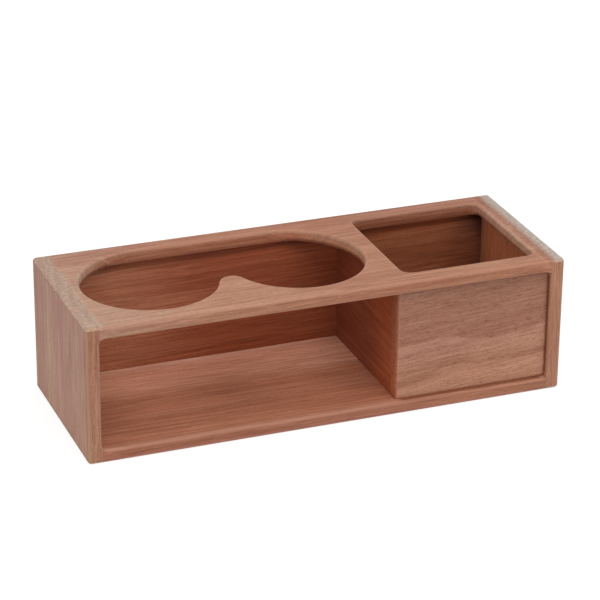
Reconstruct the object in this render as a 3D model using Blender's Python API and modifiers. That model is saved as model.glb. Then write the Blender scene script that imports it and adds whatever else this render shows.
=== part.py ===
"""A wooden rack that holds two drinks beside a small bin.

Seven boards are glued together with blind dowels: two ends, a top with its openings routed
through it, a floor, a back, a divider and a front for the bin. Metres, +Z up. The origin is on
the ground under the middle of the rack, +X runs along its length and -Y is the open front.
"""
import math

import bmesh
import bpy
from mathutils import Matrix, Vector

# Boards
END_THICKNESS = 0.0096
BOARD_THICKNESS = 0.0090
HEIGHT = 0.0963
JOINT_GAP = 0.0003

# Drink openings: round in front, and a wider quarter round behind, up to one straight back edge
DRINK_RADIUS = 0.0459
DRINK_REAR_ROOM = 0.0053
WEB_WIDTH = 0.0116
WEB_TIP_SETBACK = 0.0188

# Wood left around the openings, and the bin beside them
LEFT_RAIL = 0.0064
FRONT_RAIL = 0.0148
LAND_WIDTH = 0.0132
BIN_WIDTH = 0.1010
BIN_RIGHT_RAIL = 0.0055
BIN_CORNER_RADIUS = 0.0070
BIN_FRONT_SETBACK = 0.0043

# Routed arrises: a round-over that follows a bearing, which can't reach into a square corner
EDGE_RADIUS = 0.0025
BEARING_RADIUS = 0.0045
LARGEST_ROUND_SHARE = 0.45

# Blind dowels
DOWEL_DIAMETER = 0.0040
DOWEL_LENGTH = 0.0160
DOWEL_CHAMFER = 0.0004
DOWEL_DEPTH_SHARE = 0.65
FLOOR_DOWEL_MARGIN = 0.0200
QUARTER_SHARES = (0.25, 0.75)

# Cutters run this far past the faces that they cut
CUT_OVERRUN = 0.0020

# Steps of the round surfaces
ROUND_SEGMENTS = 4
DEGREES_PER_STEP = 6.0
DOWEL_SIDES = 12

# Sizes and places that follow from the ones above, from the left end's outer face, the front and the ground
rear_radius = DRINK_RADIUS + DRINK_REAR_ROOM
pitch = 2 * DRINK_RADIUS + WEB_WIDTH
tip_radius = math.hypot(pitch / 2, WEB_TIP_SETBACK) - DRINK_RADIUS
edge_radius = min(EDGE_RADIUS, LARGEST_ROUND_SHARE * BOARD_THICKNESS, LARGEST_ROUND_SHARE * tip_radius)
setback = edge_radius

inner_left = END_THICKNESS
drink_left = inner_left + LEFT_RAIL
drink_right = drink_left + 2 * DRINK_RADIUS + pitch
bin_left = drink_right + LAND_WIDTH
inner_right = bin_left + BIN_WIDTH
length = inner_right + END_THICKNESS

drink_middle = FRONT_RAIL + DRINK_RADIUS
rear_wall = drink_middle + rear_radius
depth = rear_wall + BOARD_THICKNESS + setback

floor_top = BOARD_THICKNESS
top_underside = HEIGHT - BOARD_THICKNESS
divider_left = bin_left - BOARD_THICKNESS
bin_front_back = BIN_FRONT_SETBACK + BOARD_THICKNESS

FACES = (("left", "right"), ("front", "back"), ("bottom", "top"))


def centred(x, y, z):
    """A point given from the left end's outer face, the front and the ground, about the origin."""
    return Vector((x - length / 2, y - depth / 2, z))


def clear_scene():
    for item in list(bpy.data.objects):
        bpy.data.objects.remove(item, do_unlink=True)


def new_collection(name):
    collection = bpy.data.collections.new(name)
    bpy.context.scene.collection.children.link(collection)
    return collection


def wood(name, colour, roughness):
    """A Principled material in the colour of one board."""
    material = bpy.data.materials.new(name)
    material.use_nodes = True
    shader = material.node_tree.nodes["Principled BSDF"]
    shader.inputs["Base Color"].default_value = (*colour, 1.0)
    shader.inputs["Roughness"].default_value = roughness
    shader.inputs["Metallic"].default_value = 0.0
    material.diffuse_color = (*colour, 1.0)
    return material


def new_object(name, mesh, location, collection, parent):
    item = bpy.data.objects.new(name, mesh)
    item.location = location
    item.parent = parent
    collection.objects.link(item)
    return item


def faces_beside(edge, half):
    """The names of the two faces of a centred box that an edge lies between."""
    middle = (edge.verts[0].co + edge.verts[1].co) / 2
    names = set()
    for axis, (low_name, high_name) in enumerate(FACES):
        if middle[axis] < -half[axis] / 2:
            names.add(low_name)
        elif middle[axis] > half[axis] / 2:
            names.add(high_name)
    return names


def board(name, low, high, colour, roughness, rounded=()):
    """A board between two corners; rounded lists pairs of faces whose shared arris is rounded."""
    size = high - low
    bm = bmesh.new()
    bmesh.ops.create_cube(bm, size=1.0, matrix=Matrix.Diagonal((*size, 1.0)))
    weight = bm.edges.layers.float.new("bevel_weight_edge")
    for edge in bm.edges:
        beside = faces_beside(edge, size / 2)
        edge[weight] = 1.0 if any(beside == set(pair) for pair in rounded) else 0.0
    mesh = bpy.data.meshes.new(name)
    bm.to_mesh(mesh)
    bm.free()
    mesh.materials.append(wood(name + "_wood", colour, roughness))
    item = new_object(name, mesh, (low + high) / 2, parts, rack)
    if rounded:
        bevel = item.modifiers.new("rounded_arrises", "BEVEL")
        bevel.limit_method = "WEIGHT"
        bevel.width = edge_radius
        bevel.segments = ROUND_SEGMENTS
    return item


def cut(item, cutter):
    """Cuts one piece with one cutter."""
    boolean = item.modifiers.new("cut_by_" + cutter.name, "BOOLEAN")
    boolean.operation = "DIFFERENCE"
    boolean.solver = "EXACT"
    boolean.object = cutter


def arc(centre, radius, start, end):
    """Points on an arc between two angles in degrees, both ends included."""
    steps = max(1, round(abs(end - start) / DEGREES_PER_STEP))
    points = []
    for step in range(steps + 1):
        angle = math.radians(start + (end - start) * step / steps)
        points.append(centre + radius * Vector((math.cos(angle), math.sin(angle))))
    return points


def drinks_outline(offset):
    """The outline of the joined drink openings, moved into the wood by the offset.

    Two front arcs meet the round tip of the web between them. Behind, two quarter arcs of a
    larger radius start at the same left and right ends and run into the straight back edge.
    """
    first = Vector((drink_left + DRINK_RADIUS, drink_middle))
    second = first + Vector((pitch, 0))
    tip = (first + second) / 2 - Vector((0, WEB_TIP_SETBACK))
    tilt = math.degrees(math.atan2(WEB_TIP_SETBACK, pitch / 2))
    rear_right = Vector((drink_right - rear_radius, drink_middle))
    rear_left = Vector((drink_left + rear_radius, drink_middle))
    front = arc(first, DRINK_RADIUS + offset, 180, 360 - tilt)
    web_tip = arc(tip, tip_radius - offset, 180 - tilt, tilt)
    front_right = arc(second, DRINK_RADIUS + offset, 180 + tilt, 360)
    right_corner = arc(rear_right, rear_radius + offset, 0, 90)
    left_corner = arc(rear_left, rear_radius + offset, 90, 180)
    return front + web_tip[1:] + front_right[1:] + right_corner[1:] + left_corner[:-1]


def rectangle_outline(low, high, radius, offset):
    """A rectangle with round corners, moved outwards by the offset."""
    reach = Vector((radius, radius))
    low_centre = low + reach
    high_centre = high - reach
    corners = (
        (Vector((low_centre.x, low_centre.y)), 180),
        (Vector((high_centre.x, low_centre.y)), 270),
        (Vector((high_centre.x, high_centre.y)), 0),
        (Vector((low_centre.x, high_centre.y)), 90),
    )
    points = []
    for centre, start in corners:
        points += arc(centre, radius + offset, start, start + 90)
    return points


def bin_outline(offset):
    """The outline of the bin's opening, moved into the wood by the offset."""
    low = Vector((bin_left, FRONT_RAIL))
    high = Vector((inner_right - BIN_RIGHT_RAIL, rear_wall))
    return rectangle_outline(low, high, BIN_CORNER_RADIUS, offset)


def mouth_outline(offset):
    """The inside of the four outer boards, as a bearing follows it, moved outwards."""
    low = Vector((inner_left, floor_top))
    high = Vector((inner_right, top_underside))
    return rectangle_outline(low, high, BEARING_RADIUS, offset)


def rounded_arris(radius):
    """Steps down a rounded arris from the face to the wall: depth under the face, and offset."""
    steps = []
    for step in range(ROUND_SEGMENTS + 1):
        angle = math.radians(90 * step / ROUND_SEGMENTS)
        steps.append(Vector((radius * (1 - math.cos(angle)), radius * (1 - math.sin(angle)))))
    return steps


def past(end, inner):
    """The point as far past the end of a line as its inner point lies before it."""
    return 2 * end - inner


def loft(name, rings):
    """A closed cutter through rings of points that all have the same number of points."""
    bm = bmesh.new()
    loops = [[bm.verts.new(point) for point in ring] for ring in rings]
    for near, far in zip(loops, loops[1:]):
        for index, vert in enumerate(near):
            after = (index + 1) % len(near)
            bm.faces.new((vert, near[after], far[after], far[index])).smooth = True
    bm.faces.new(loops[0])
    bm.faces.new(loops[-1])
    bmesh.ops.recalc_face_normals(bm, faces=bm.faces)
    mesh = bpy.data.meshes.new(name)
    bm.to_mesh(mesh)
    bm.free()
    return as_cutter(new_object(name, mesh, Vector(), cutters, rack))


def as_cutter(item):
    item.hide_render = True
    item.display_type = "WIRE"
    return item


def opening_cutter(name, outline):
    """Cuts an opening through the top board and rounds both its arrises."""
    arris = rounded_arris(edge_radius)
    above = past(arris[0], arris[1])
    steps = [Vector((-CUT_OVERRUN, above.y)), above] + arris[1:]
    rings = []
    for below_top, offset in steps:
        rings.append([centred(x, y, HEIGHT - below_top) for x, y in outline(offset)])
    for above_underside, offset in reversed(steps):
        rings.append([centred(x, y, top_underside + above_underside) for x, y in outline(offset)])
    return loft(name, rings)


def mouth_cutter(name, from_front):
    """Rounds the inner arrises of the four outer boards, at the front or at the back."""
    arris = rounded_arris(edge_radius)
    above = past(arris[0], arris[1])
    beyond = past(arris[-1], arris[-2])
    rings = []
    for inwards, offset in [Vector((-CUT_OVERRUN, above.y)), above] + arris[1:-1] + [beyond]:
        y = inwards if from_front else depth - inwards
        rings.append([centred(x, y, z) for x, z in mouth_outline(offset)])
    return loft(name, rings)


def pegs(name, places, axis, diameter, peg_length):
    """A mesh of equal round pegs along one axis, each about its own middle."""
    turn = Vector((0, 0, 1)).rotation_difference(axis).to_matrix().to_4x4()
    bm = bmesh.new()
    for place in places:
        bmesh.ops.create_cone(
            bm, cap_ends=True, segments=DOWEL_SIDES, radius1=diameter / 2, radius2=diameter / 2,
            depth=peg_length, matrix=Matrix.Translation(place) @ turn)
    mesh = bpy.data.meshes.new(name)
    bm.to_mesh(mesh)
    bm.free()
    mesh.shade_smooth()
    mesh.set_sharp_from_angle(angle=math.radians(45))
    return mesh


def dowels(name, face_board, end_board, joints, axis, face_thickness):
    """Blind dowels across a joint, and their holes in both boards.

    Each joint is a point on the face of the face_board, and the axis points out of that face
    into the end of the other board. A hole is one gap wider and longer than its dowel all round.
    """
    in_face = DOWEL_DEPTH_SHARE * face_thickness
    places = [joint + axis * (DOWEL_LENGTH / 2 - in_face) for joint in joints]
    pin_mesh = pegs(name, [Vector()], axis, DOWEL_DIAMETER, DOWEL_LENGTH)
    pin_mesh.materials.append(dowel_wood)
    for number, place in enumerate(places, 1):
        pin = new_object(f"{name}_{number}", pin_mesh, place, parts, rack)
        chamfer = pin.modifiers.new("chamfered_ends", "BEVEL")
        chamfer.width = DOWEL_CHAMFER
        chamfer.segments = 1
        chamfer.limit_method = "ANGLE"
        chamfer.angle_limit = math.radians(60)
    hole_mesh = pegs(name + "_holes", places, axis, DOWEL_DIAMETER + 2 * JOINT_GAP, DOWEL_LENGTH + 2 * JOINT_GAP)
    holes = as_cutter(new_object(name + "_holes", hole_mesh, Vector(), cutters, rack))
    cut(face_board, holes)
    cut(end_board, holes)


def at_shares(low, high):
    """Places between two others, at the quarter shares."""
    return [low + share * (high - low) for share in QUARTER_SHARES]


clear_scene()
parts = new_collection("drink_holder_rack")
cutters = new_collection("cutters")
rack = bpy.data.objects.new("rack_origin", None)
parts.objects.link(rack)

# The ends run the full height and depth, and their outer arrises are rounded
short_arrises = [("front", "top"), ("back", "top"), ("front", "bottom"), ("back", "bottom")]
left_end = board(
    "left_end", centred(0, 0, 0), centred(END_THICKNESS, depth, HEIGHT), (0.38, 0.23, 0.18), 0.60,
    short_arrises + [("left", side) for side in ("front", "back", "top", "bottom")])
right_end = board(
    "right_end", centred(length - END_THICKNESS, 0, 0), centred(length, depth, HEIGHT), (0.38, 0.20, 0.13), 0.60,
    short_arrises + [("right", side) for side in ("front", "back", "top", "bottom")])

# The top and the floor lie between the ends
between_left = inner_left + JOINT_GAP
between_right = inner_right - JOINT_GAP
top_board = board(
    "top_board", centred(between_left, 0, top_underside), centred(between_right, depth, HEIGHT),
    (0.43, 0.22, 0.14), 0.55, [("front", "top"), ("back", "top")])
floor_board = board(
    "floor_board", centred(between_left, 0, 0), centred(between_right, depth, floor_top),
    (0.33, 0.14, 0.09), 0.60, [("front", "bottom"), ("back", "bottom")])

# The upright panels stand between the floor and the top
panel_bottom = floor_top + JOINT_GAP
panel_top = top_underside - JOINT_GAP
back_panel = board(
    "back_panel", centred(between_left, rear_wall, panel_bottom),
    centred(between_right, rear_wall + BOARD_THICKNESS, panel_top), (0.30, 0.12, 0.07), 0.65)
divider = board(
    "divider", centred(divider_left, bin_front_back + JOINT_GAP, panel_bottom),
    centred(bin_left, rear_wall - JOINT_GAP, panel_top), (0.30, 0.12, 0.07), 0.65)
bin_front = board(
    "bin_front", centred(divider_left, BIN_FRONT_SETBACK, panel_bottom),
    centred(between_right, bin_front_back, panel_top), (0.36, 0.18, 0.12), 0.60, [("left", "front")])

# The router cuts the openings in the top, and rounds the mouth of the rack at the front and the back
cut(top_board, opening_cutter("drinks_opening", drinks_outline))
cut(top_board, opening_cutter("bin_opening", bin_outline))
for mouth in (mouth_cutter("front_mouth", True), mouth_cutter("back_mouth", False)):
    for item in (left_end, right_end, top_board, floor_board):
        cut(item, mouth)

# Dowels between the ends and the boards that run up to them
dowel_wood = wood("dowel_wood", (0.42, 0.27, 0.15), 0.65)
along_x = Vector((1, 0, 0))
along_y = Vector((0, 1, 0))
along_z = Vector((0, 0, 1))
rail_middles = (FRONT_RAIL / 2, (rear_wall + depth) / 2)
floor_middles = (FLOOR_DOWEL_MARGIN, depth / 2, depth - FLOOR_DOWEL_MARGIN)
panel_heights = at_shares(panel_bottom, panel_top)
top_middle = HEIGHT - BOARD_THICKNESS / 2
floor_middle = BOARD_THICKNESS / 2
back_middle = rear_wall + BOARD_THICKNESS / 2
bin_front_middle = BIN_FRONT_SETBACK + BOARD_THICKNESS / 2
for side, end, face, axis in (("left", left_end, inner_left, along_x), ("right", right_end, inner_right, -along_x)):
    top_joints = [centred(face, y, top_middle) for y in rail_middles]
    floor_joints = [centred(face, y, floor_middle) for y in floor_middles]
    back_joints = [centred(face, back_middle, z) for z in panel_heights]
    dowels("top_dowel_" + side, end, top_board, top_joints, axis, END_THICKNESS)
    dowels("floor_dowel_" + side, end, floor_board, floor_joints, axis, END_THICKNESS)
    dowels("back_dowel_" + side, end, back_panel, back_joints, axis, END_THICKNESS)
front_joints = [centred(inner_right, bin_front_middle, z) for z in panel_heights]
dowels("bin_front_dowel_right", right_end, bin_front, front_joints, -along_x, END_THICKNESS)

# Dowels around the divider; those in the top stand in the wood that the land and the divider share
divider_middle = (divider_left + bin_left) / 2
land_middle = (divider_left + bin_left - edge_radius) / 2
divider_depths = at_shares(bin_front_back, rear_wall)
corner_joints = [centred(divider_middle, bin_front_back, z) for z in panel_heights]
rear_joints = [centred(divider_middle, rear_wall, z) for z in panel_heights]
land_joints = [centred(land_middle, y, top_underside) for y in divider_depths]
foot_joints = [centred(divider_middle, y, floor_top) for y in divider_depths]
dowels("bin_front_dowel_left", bin_front, divider, corner_joints, along_y, BOARD_THICKNESS)
dowels("divider_dowel_back", back_panel, divider, rear_joints, -along_y, BOARD_THICKNESS)
dowels("divider_dowel_top", top_board, divider, land_joints, -along_z, BOARD_THICKNESS)
dowels("divider_dowel_floor", floor_board, divider, foot_joints, along_z, BOARD_THICKNESS)
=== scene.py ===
# %% [markdown]
# # A wooden rack for two drinks and a small bin
#
# The rack is a glued box of seven thin teak boards. Two drinks drop into the round openings of
# its top, and small things go into the bin beside them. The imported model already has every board
# and every hidden dowel at its real size. This script keeps that frame, gives the boards finer
# surfaces and wood that grows through them, and sets up the camera, the light and the ground.

import bmesh
import bpy
import numpy as np
from mathutils import Matrix, Vector


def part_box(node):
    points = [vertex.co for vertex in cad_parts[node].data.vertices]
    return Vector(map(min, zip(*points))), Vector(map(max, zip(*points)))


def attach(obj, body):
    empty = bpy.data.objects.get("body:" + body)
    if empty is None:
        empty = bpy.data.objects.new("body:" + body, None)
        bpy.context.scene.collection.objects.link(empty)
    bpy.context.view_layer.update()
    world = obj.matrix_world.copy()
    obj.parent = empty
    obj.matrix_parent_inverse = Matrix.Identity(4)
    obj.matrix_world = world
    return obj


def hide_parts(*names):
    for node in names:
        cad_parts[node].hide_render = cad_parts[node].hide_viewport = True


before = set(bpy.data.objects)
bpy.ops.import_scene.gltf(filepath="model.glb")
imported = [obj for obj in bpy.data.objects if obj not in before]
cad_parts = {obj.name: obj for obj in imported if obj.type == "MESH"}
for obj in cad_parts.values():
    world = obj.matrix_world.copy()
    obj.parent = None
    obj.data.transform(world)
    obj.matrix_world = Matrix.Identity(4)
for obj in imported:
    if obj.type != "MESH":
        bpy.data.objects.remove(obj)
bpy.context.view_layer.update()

MM = 0.001

print("packed nodes:", len(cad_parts))

# %% [markdown]
# ## Where the boards are
#
# A maker works from the faces of the boards, so the script reads those faces from the packed
# nodes. The sizes of the openings and of the router bits can't be read from a box, and are
# repeated here as real sizes, in metres.

# %% Faces of the boards and sizes of the openings
EDGE_RADIUS = 2.5 * MM
BEARING_RADIUS = 4.5 * MM
DRINK_RADIUS = 45.9 * MM
DRINK_REAR_ROOM = 5.3 * MM
WEB_WIDTH = 11.6 * MM
WEB_TIP_SETBACK = 18.8 * MM
LEFT_RAIL = 6.4 * MM
FRONT_RAIL = 14.8 * MM
LAND_WIDTH = 13.2 * MM
BIN_RIGHT_RAIL = 5.5 * MM
BIN_CORNER_RADIUS = 7.0 * MM
GLUE_LINE = 0.03 * MM
EASED_EDGE = 0.04 * MM

outer_left, front, ground = (float(value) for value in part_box("left_end")[0])
inner_left, back, height = (float(value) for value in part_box("left_end")[1])
inner_right = float(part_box("right_end")[0].x)
outer_right = float(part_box("right_end")[1].x)
floor_top = float(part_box("floor_board")[1].z)
top_underside = float(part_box("top_board")[0].z)
rear_wall = float(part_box("back_panel")[0].y)
divider_left = float(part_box("divider")[0].x)
bin_front_middle = float(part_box("bin_front")[0].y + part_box("bin_front")[1].y) / 2

rear_radius = DRINK_RADIUS + DRINK_REAR_ROOM
pitch = 2 * DRINK_RADIUS + WEB_WIDTH
tip_radius = float(np.hypot(pitch / 2, WEB_TIP_SETBACK)) - DRINK_RADIUS
drink_left = inner_left + LEFT_RAIL
drink_right = drink_left + 2 * DRINK_RADIUS + pitch
drink_middle = front + FRONT_RAIL + DRINK_RADIUS
bin_left = drink_right + LAND_WIDTH
bin_right = inner_right - BIN_RIGHT_RAIL
mouth = (inner_right - inner_left, top_underside - floor_top)
print("mouth of the rack in mm:", [round(side / MM, 1) for side in mouth])
print("web tip radius in mm:", round(tip_radius / MM, 2))

# %% [markdown]
# ## Skins
#
# Each new surface is a grid of points, worked out as one array. A skin collects such grids and
# flat caps, merges the points that they share, and becomes one closed mesh. Every point carries
# two numbers for the finish. The first is 1 on the crown of a rounded arris, which is drawn pale,
# as rubbed wood and as a painted highlight, 0 on a flat face, and below 0 in nooks and on lower
# arrises, which get painted shade. Inside is 1 on the faces inside the rack, which get painted
# shade, and on some boards painted bounce light.

# %% The skin helper
WELD = 1e-7
SHARP_ANGLE = 35.0
FACE_SLACK = 0.05 * MM
INSIDE_SETBACK = 2 * EDGE_RADIUS
INSIDE_DROP = 1.2 * EDGE_RADIUS
INSIDE_LOW = np.array([inner_left, front + INSIDE_SETBACK, floor_top]) - FACE_SLACK
INSIDE_HIGH = np.array([inner_right, rear_wall, height - INSIDE_DROP]) + FACE_SLACK


def new_object(name, data):
    """An object in the scene."""
    item = bpy.data.objects.new(name, data)
    bpy.context.scene.collection.objects.link(item)
    return item


class Skin:
    """Grids of points that are merged into one closed mesh."""

    def __init__(self):
        self.points, self.worn, self.quads, self.caps = [], [], [], []
        self.count = 0

    def keep(self, points, worn):
        """Stores points with their values for wear and painted light, and returns their numbers in the
        shape of the grid.
        """
        numbers = self.count + np.arange(points[..., 0].size).reshape(points.shape[:-1])
        self.points.append(points.reshape(-1, 3))
        self.worn.append(np.broadcast_to(worn, points.shape[:-1]).reshape(-1))
        self.count += numbers.size
        return numbers

    def grid(self, points, worn=0.0, closed=False):
        """One quad between each four neighbours. Closed joins the last column to the first."""
        numbers = self.keep(points, worn)
        if closed:
            numbers = np.concatenate([numbers, numbers[:, :1]], axis=1)
        corners = (numbers[:-1, :-1], numbers[1:, :-1], numbers[1:, 1:], numbers[:-1, 1:])
        self.quads.append(np.stack(corners, axis=-1).reshape(-1, 4))

    def cap(self, loop):
        """A flat face whose outline is a loop of points."""
        self.caps.append(self.keep(loop, 0.0))

    def piece(self, name):
        """Merges points closer than the weld distance, drops quads with no area, makes the object."""
        points = np.concatenate(self.points)
        worn = np.concatenate(self.worn)
        cells = np.round(points / WELD).astype(np.int64)
        _, first, merged = np.unique(cells, axis=0, return_index=True, return_inverse=True)
        merged = merged.reshape(-1)
        faces = []
        for quad in merged[np.concatenate(self.quads)].tolist():
            corners = list(dict.fromkeys(quad))
            if len(corners) > 2:
                faces.append(corners)
        for numbers in self.caps:
            faces.append(list(dict.fromkeys(merged[numbers].tolist())))
        mesh = bpy.data.meshes.new(name)
        mesh.from_pydata(points[first], [], faces)
        inside = np.all((points[first] > INSIDE_LOW) & (points[first] < INSIDE_HIGH), axis=1)
        for label, values in (("worn", worn[first]), ("inside", inside)):
            attribute = mesh.attributes.new(label, "FLOAT", "POINT")
            attribute.data.foreach_set("value", values.astype(np.float32))
        tidy = bmesh.new()
        tidy.from_mesh(mesh)
        bmesh.ops.recalc_face_normals(tidy, faces=tidy.faces)
        open_edges = sum(not edge.is_manifold for edge in tidy.edges)
        tidy.to_mesh(mesh)
        tidy.free()
        mesh.shade_smooth()
        mesh.set_sharp_from_angle(angle=np.radians(SHARP_ANGLE))
        item = new_object(name, mesh)
        normals = item.modifiers.new("flat_faces_stay_flat", "WEIGHTED_NORMAL")
        normals.keep_sharp = True
        print(f"{name}: {len(mesh.polygons)} faces, {open_edges} open edges")
        return item


def in_space(stations, profile, axes=(0, 1, 2)):
    """A profile at each station: the axis of the stations, then the two axes of the profile."""
    surface = np.empty(profile.shape[:2] + (3,))
    surface[..., axes[0]] = stations[:, None]
    surface[..., list(axes[1:])] = profile
    return surface


def carried(name, surface, worn):
    """The closed piece that a loop makes when it is carried along a board, with a cap at each end."""
    skin = Skin()
    skin.grid(surface, worn, closed=True)
    skin.cap(surface[0])
    skin.cap(surface[-1])
    return skin.piece(name)


# %% [markdown]
# ## Arrises
#
# The outer edges are rounded by a 2.5 mm bit. The mouth's edges are rounded by the same bit with
# a bearing that runs along the inner faces of the boards. The bearing is round, so it can't reach
# into the square corners, and the round-over fades out there.

# %% Profiles of the rounded arrises
ARRIS_STEPS = 8
EDGE_RUNS = 3
FACE_RUNS = 10
NOOK_POWER = 4
NOOK_SHARE = (bin_front_middle - front - EDGE_RADIUS) / (back - front - 2 * EDGE_RADIUS)


def quarter(steps=ARRIS_STEPS):
    """Angles from 0 to a right angle."""
    return np.linspace(0, np.pi / 2, steps + 1)


def drawn_ends(low, middle, high, radius, steps=ARRIS_STEPS):
    """Stations from low to high, and how far a quarter circle at each end draws the outline in."""
    turn = quarter(steps)[::-1]
    rise = radius * (1 - np.sin(turn))
    inset = radius * (1 - np.cos(turn))
    stations = np.concatenate([low + rise, middle, high - rise[::-1]])
    return stations, np.concatenate([inset, 0 * middle, inset[::-1]])


def bunched(share, bunching):
    """Shares from 0 to 1 that bunch up at both ends: t - k sin(2 pi t) / (2 pi)."""
    return share - bunching * np.sin(2 * np.pi * share) / (2 * np.pi)


def graded(low, high, count, bunching=0.0):
    """Places from low to high, in equal steps or bunched up at both ends."""
    return low + (high - low) * bunched(np.linspace(0, 1, count), bunching)


def mouth_arris(station, low, high, closed):
    """The arris that the bearing bit leaves at stations along one side of the mouth.

    beyond is how far a station lies past the centre of the bearing's turn in the nearer corner.
    At the angle a the bit cuts r (1 - cos a) deep under the face of the rack and
    sqrt((b + r (1 - sin a))^2 - beyond^2) - b out into the board, with r and b the radii of the
    bit and the bearing. a runs from 0 on the face to where the cut meets the inner face. Where a
    panel closes the mouth, painted shade darkens the nook beside it.
    """
    past_low = low + BEARING_RADIUS - station
    past_high = station - high + BEARING_RADIUS
    beyond = np.maximum(0, np.maximum(past_low, past_high))
    nearest = np.hypot(BEARING_RADIUS, beyond) - BEARING_RADIUS
    last = np.arcsin(np.clip(1 - nearest / EDGE_RADIUS, 0, 1))
    angle = last[:, None] * np.linspace(0, 1, ARRIS_STEPS + 1)
    reach = BEARING_RADIUS + EDGE_RADIUS * (1 - np.sin(angle))
    across = np.maximum(reach ** 2 - beyond[:, None] ** 2, BEARING_RADIUS ** 2)
    out = np.sqrt(across) - BEARING_RADIUS
    deep = EDGE_RADIUS * (1 - np.cos(angle))
    nook = np.reshape(closed, (-1, 1)) * np.sin(angle) ** NOOK_POWER
    return out, deep, np.sin(2 * angle) * (1 - nook) - nook


def runs(start, end, count, nook=0.0):
    """Points strictly between two columns of points, in equal steps.

    With a nook, the first and the last of them lie that share of the way from the columns.
    """
    share = np.arange(1, count) / count
    if nook:
        share = np.linspace(nook, 1 - nook, count - 1)
    return start[:, None, :] + share[:, None] * (end - start)[:, None, :]


def edge_profile(stations, plain, mouth, mouth_ends, closed, inset, eased):
    """One edge of a board at stations along it, as places from front to back and across the board.

    A quarter circle comes round from the face at plain, a flat follows, and the mouth's arris
    runs into the inner face at mouth. All of it is drawn in by inset, but the inner face by eased.
    """
    side = np.sign(mouth - plain)
    turn = quarter()
    radius = (EDGE_RADIUS - inset)[:, None]
    plain_part = np.stack([
        front + EDGE_RADIUS - radius * np.sin(turn),
        plain + side * (EDGE_RADIUS - radius * np.cos(turn))], axis=-1)
    out, deep, crown = mouth_arris(stations, *mouth_ends, closed)
    mouth_part = np.stack([
        front + inset[:, None] + deep * radius / EDGE_RADIUS,
        mouth - side * (eased[:, None] + out * radius / EDGE_RADIUS)], axis=-1)
    flat_part = runs(plain_part[:, -1], mouth_part[:, 0], EDGE_RUNS)
    plain_crown = np.ones_like(radius) * np.sin(2 * turn)
    worn = np.concatenate([plain_crown, np.zeros(flat_part.shape[:2]), crown], axis=1)
    return np.concatenate([plain_part, flat_part, mouth_part], axis=1), worn


def mirrored(profile):
    """The same profile at the back of the rack."""
    return profile * (-1, 1) + (front + back, 0)


def whole_loop(half, worn, outer_worn=0.0):
    """A closed loop from its front half, whose mirror image in reverse is the back half."""
    rear = mirrored(half[:, ::-1])
    inner = runs(half[:, -1], rear[:, 0], FACE_RUNS, NOOK_SHARE)
    outer = runs(rear[:, -1], half[:, 0], FACE_RUNS)
    flat = np.zeros(inner.shape[:2])
    loop = np.concatenate([half, inner, rear, outer], axis=1)
    return loop, np.concatenate([worn, flat, worn[:, ::-1], flat + outer_worn], axis=1)


# %% [markdown]
# ## The ends
#
# Each end is one upright board, as high and as deep as the rack. It is an outline carried up the
# board: at each height the outline, seen from above, goes round the outer arris, across the front
# edge, round the mouth's arris and along the inner face, and the back half is its mirror image.
# At the top and the bottom the outline draws in along a quarter circle.

# %% Both ends
CORNER_ZONE = 2 * BEARING_RADIUS
CORNER_ROWS = 22
MIDDLE_ROWS = 16


def end_board(name, outer, inner, closed):
    """One end: the loop at each height carried up the board, drawn in at the top and the bottom."""
    low_zone = floor_top + CORNER_ZONE
    high_zone = top_underside - CORNER_ZONE
    middle = np.concatenate([
        graded(ground + EDGE_RADIUS, low_zone, CORNER_ROWS),
        graded(low_zone, high_zone, MIDDLE_ROWS)[1:],
        graded(high_zone, height - EDGE_RADIUS, CORNER_ROWS)[1:]])[1:-1]
    heights, inset = drawn_ends(ground, middle, height, EDGE_RADIUS)
    eased = np.maximum(0, EASED_EDGE - np.minimum(heights - ground, height - heights))
    # Beside the bin's front the right end's mouth arris gets painted shade in the nook.
    beside_panel = closed * ((heights > floor_top) & (heights < top_underside))
    mouth_ends = (floor_top, top_underside)
    half, worn = edge_profile(heights, outer, inner, mouth_ends, beside_panel, inset, eased)
    # Where the outline draws in at the top and the bottom, the crown is drawn pale too, as rubbed wood and
    # painted highlight.
    drawn_in = np.sin(2 * np.arccos(1 - inset / EDGE_RADIUS))[:, None]
    worn[:, :-1] = np.maximum(worn[:, :-1], drawn_in)
    loop, worn = whole_loop(half, worn, drawn_in)
    return carried(name, in_space(heights, loop, (2, 1, 0)), worn)


left_end = end_board("left_end_board", outer_left, inner_left, closed=0)
right_end = end_board("right_end_board", outer_right, inner_right, closed=1)

# %% [markdown]
# ## The floor
#
# The floor lies between the ends. It is the same idea turned on its side: the outline of the
# board, seen from its end, is carried along its length. The small eased edge round each end
# catches the light beside the glue line, as a sanded joint does.

# %% The floor board
FLOOR_STATIONS = 90
FLOOR_BUNCHING = 0.8


def floor_stations():
    """Places from joint to joint, with one more where the eased edge begins at each end."""
    first = inner_left + GLUE_LINE
    last = inner_right - GLUE_LINE
    between = graded(first + EASED_EDGE, last - EASED_EDGE, FLOOR_STATIONS, FLOOR_BUNCHING)
    return np.concatenate([[first], between, [last]])


def long_edge(stations, plain, mouth):
    """The front edge of the floor or the top, with the eased edge at its two ends."""
    inset = np.zeros(len(stations))
    inset[[0, -1]] = EASED_EDGE
    mouth_ends = (inner_left, inner_right)
    # Right of the divider the bin's front closes the mouth, and the arris of the floor and the top gets
    # painted shade in the nook.
    closed = stations > divider_left
    return edge_profile(stations, plain, mouth, mouth_ends, closed, inset, inset)


def floor_piece(name):
    """The floor: a closed outline carried from joint to joint."""
    stations = floor_stations()
    loop, worn = whole_loop(*long_edge(stations, ground, floor_top))
    return carried(name, in_space(stations, loop), worn)


floor_board = floor_piece("floor_board_piece")

# %% [markdown]
# ## The openings in the top
#
# The openings are routed with a template and then rounded over from above and from below. An
# opening is described by its outline and by the direction into the wood at each of its points,
# so the wall is a profile carried along a path: outline + offset x direction, at each depth.

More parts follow.
